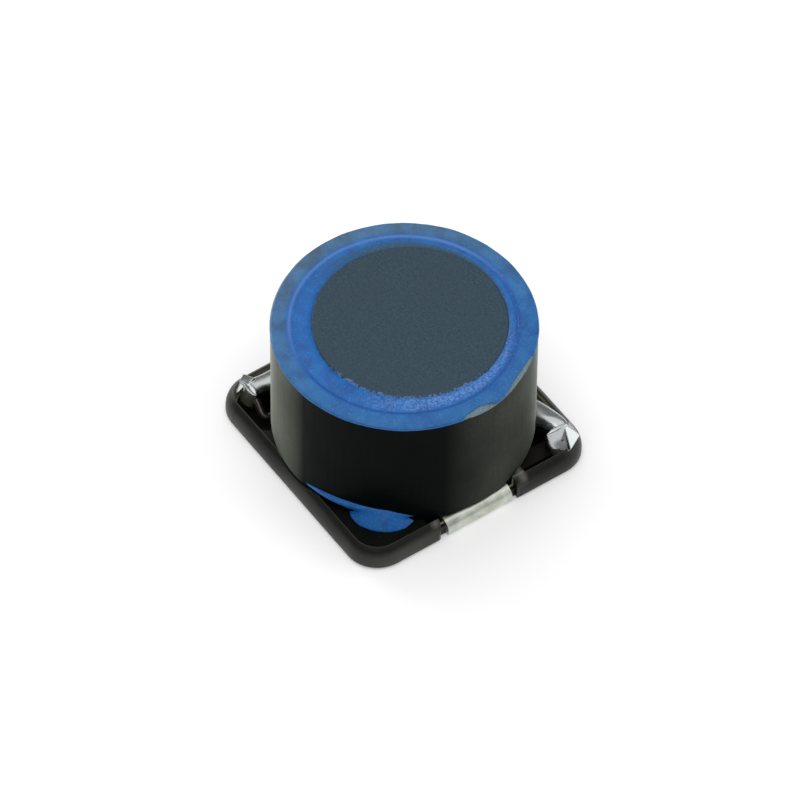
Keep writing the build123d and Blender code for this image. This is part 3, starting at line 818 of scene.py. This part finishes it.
def make_gap_epoxy():
    """Epoxy in the gap between the cores, its swollen top, and its thin coat over the ring."""
    cx, cy = DRUM_CENTRE.x, DRUM_CENTRE.y
    loops = [
        # Underneath: from the drum across the gap, up the bore and its bevel, and out over the ring
        (cx, cy, DRUM_RADIUS, RING_TOP - 0.90),
        (0, 0, BORE_RADIUS, RING_TOP - 0.90),
        (0, 0, BORE_RADIUS, RING_TOP - 0.36),
        (0, 0, BEVEL_RADIUS, RING_TOP - 0.005),
        (0, 0, 5.90, RING_TOP - 0.005),
        (0, 0, 5.97, RING_TOP - 0.07),
        (0, 0, 6.00, RING_TOP - 0.11),
        # On top: in over the ring, a ridge and a furrow, and a swelling that moves to the drum's axis
        (0, 0, 6.02, RING_TOP - 0.09),
        (0, 0, 6.015, RING_TOP - 0.04),
        (0, 0, 5.98, RING_TOP + 0.01),
        (0, 0, 5.90, RING_TOP + 0.04),
        (0, 0, 5.70, RING_TOP + 0.05),
        (0, 0, 5.45, RING_TOP + 0.05),
        (0, 0, 5.29, RING_TOP + 0.055),
        (0, 0, 5.20, RING_TOP + 0.07),
        (0, 0, 5.12, RING_TOP + 0.05),
        (0.1 * cx, 0.1 * cy, 5.04, RING_TOP + 0.02),
        (0.2 * cx, 0.2 * cy, 4.95, RING_TOP + 0.045),
        (0.5 * cx, 0.5 * cy, 4.78, RING_TOP + 0.06),
        (0.8 * cx, 0.8 * cy, 4.58, RING_TOP + 0.05),
        (cx, cy, DRUM_RADIUS + 0.03, RING_TOP + 0.02),
        (cx, cy, DRUM_RADIUS - 0.01, RING_TOP),
    ]
    x, y, radius, level = loops[0]
    bpy.ops.object.select_all(action="DESELECT")
    bpy.ops.mesh.primitive_circle_add(vertices=EPOXY_SEGMENTS, radius=radius, location=(x, y, level))
    bpy.ops.object.transform_apply(location=True, rotation=True, scale=True)
    epoxy = bpy.context.object
    epoxy.name = "gap_epoxy"
    epoxy.data.name = "gap_epoxy"
    bpy.ops.object.mode_set(mode="EDIT")
    for next_x, next_y, next_radius, next_level in loops[1:]:
        step = (next_x - x, next_y - y, next_level - level)
        growth = next_radius / radius
        bpy.ops.mesh.extrude_region_move(TRANSFORM_OT_translate={"value": step})
        bpy.ops.transform.resize(value=(growth, growth, 1), center_override=(next_x, next_y, next_level))
        x, y, radius, level = next_x, next_y, next_radius, next_level
    bpy.ops.mesh.select_all(action="DESELECT")
    bpy.ops.mesh.select_non_manifold()
    bpy.ops.mesh.bridge_edge_loops()
    bpy.ops.mesh.select_all(action="SELECT")
    bpy.ops.mesh.normals_make_consistent(inside=False)
    bpy.ops.object.mode_set(mode="OBJECT")
    roughen(epoxy, 0.9, 0.04)
    break_rim(epoxy)
    return epoxy


settle(make_gap_epoxy(), EPOXY, "gap_adhesive")


def make_floor():
    """A plain pale floor that the object stands on."""
    bpy.ops.mesh.primitive_plane_add(size=2.0, location=(0, 0, 0))
    floor = bpy.context.object
    floor.name = "floor"
    material, tree, place = new_material("pale_floor")
    settings = {
        "Base Color": linear("#f4f4f4"),
        "Roughness": 0.9,
        "Emission Color": linear("#ffffff"),
        "Emission Strength": 0.2,
    }
    shader = node(tree, "ShaderNodeBsdfPrincipled", settings)
    node(tree, "ShaderNodeOutputMaterial", {"Surface": shader})
    floor.data.materials.append(material)


def make_light(name, azimuth, elevation, distance, size, power):
    """A soft rectangular light that faces the object; azimuth 0 is at -Y and 90 at +X."""
    lamp = bpy.data.lights.new(name, "AREA")
    lamp.shape = "RECTANGLE"
    lamp.size, lamp.size_y = size
    lamp.energy = power
    light = bpy.data.objects.new(name, lamp)
    bpy.context.scene.collection.objects.link(light)
    a, e = math.radians(azimuth), math.radians(elevation)
    back = Vector((math.sin(a) * math.cos(e), -math.cos(a) * math.cos(e), math.sin(e)))
    light.location = back * distance
    light.rotation_euler = back.to_track_quat("Z", "Y").to_euler()


def make_studio():
    """Soft light from above, behind and both sides, in a pale room."""
    world = bpy.data.worlds.new("studio")
    world.use_nodes = True
    world.node_tree.nodes["Background"].inputs["Color"].default_value = linear("#ffffff")
    world.node_tree.nodes["Background"].inputs["Strength"].default_value = 0.25
    bpy.context.scene.world = world
    make_light("overhead", 20, 80, 1.4, (2.0, 2.0), 17.0)
    make_light("rear", 235, 48, 1.0, (0.8, 0.5), 1.2)
    make_light("left", -80, 14, 0.8, (0.4, 0.3), 2.6)
    make_light("right", 150, 20, 0.8, (0.7, 0.6), 2.0)
    bpy.context.scene.view_settings.view_transform = "Standard"


def make_camera():
    """The photograph's view of the object."""
    a, e, r = [math.radians(x) for x in (CAMERA_AZIMUTH, CAMERA_ELEVATION, CAMERA_ROLL)]
    back = Vector((math.sin(a) * math.cos(e), -math.cos(a) * math.cos(e), math.sin(e)))
    level_right = Vector((math.cos(a), math.sin(a), 0))
    level_up = back.cross(level_right)
    right = math.cos(r) * level_right + math.sin(r) * level_up
    up = math.cos(r) * level_up - math.sin(r) * level_right
    aim = Vector((0, 0, CAMERA_TARGET_LEVEL)) + CAMERA_AIM_RIGHT * right + CAMERA_AIM_UP * up
    camera = bpy.data.objects.new("camera", bpy.data.cameras.new("camera"))
    bpy.context.scene.collection.objects.link(camera)
    camera.data.sensor_width = SENSOR_WIDTH
    camera.data.lens = FOCAL_PIXELS / PICTURE_PIXELS * SENSOR_WIDTH
    camera.data.clip_start = 0.01
    turn = Matrix((right, up, back)).transposed().to_4x4()
    camera.matrix_world = Matrix.Translation((aim + back * CAMERA_DISTANCE) / MM) @ turn
    bpy.context.scene.camera = camera


make_floor()
make_studio()
make_camera()
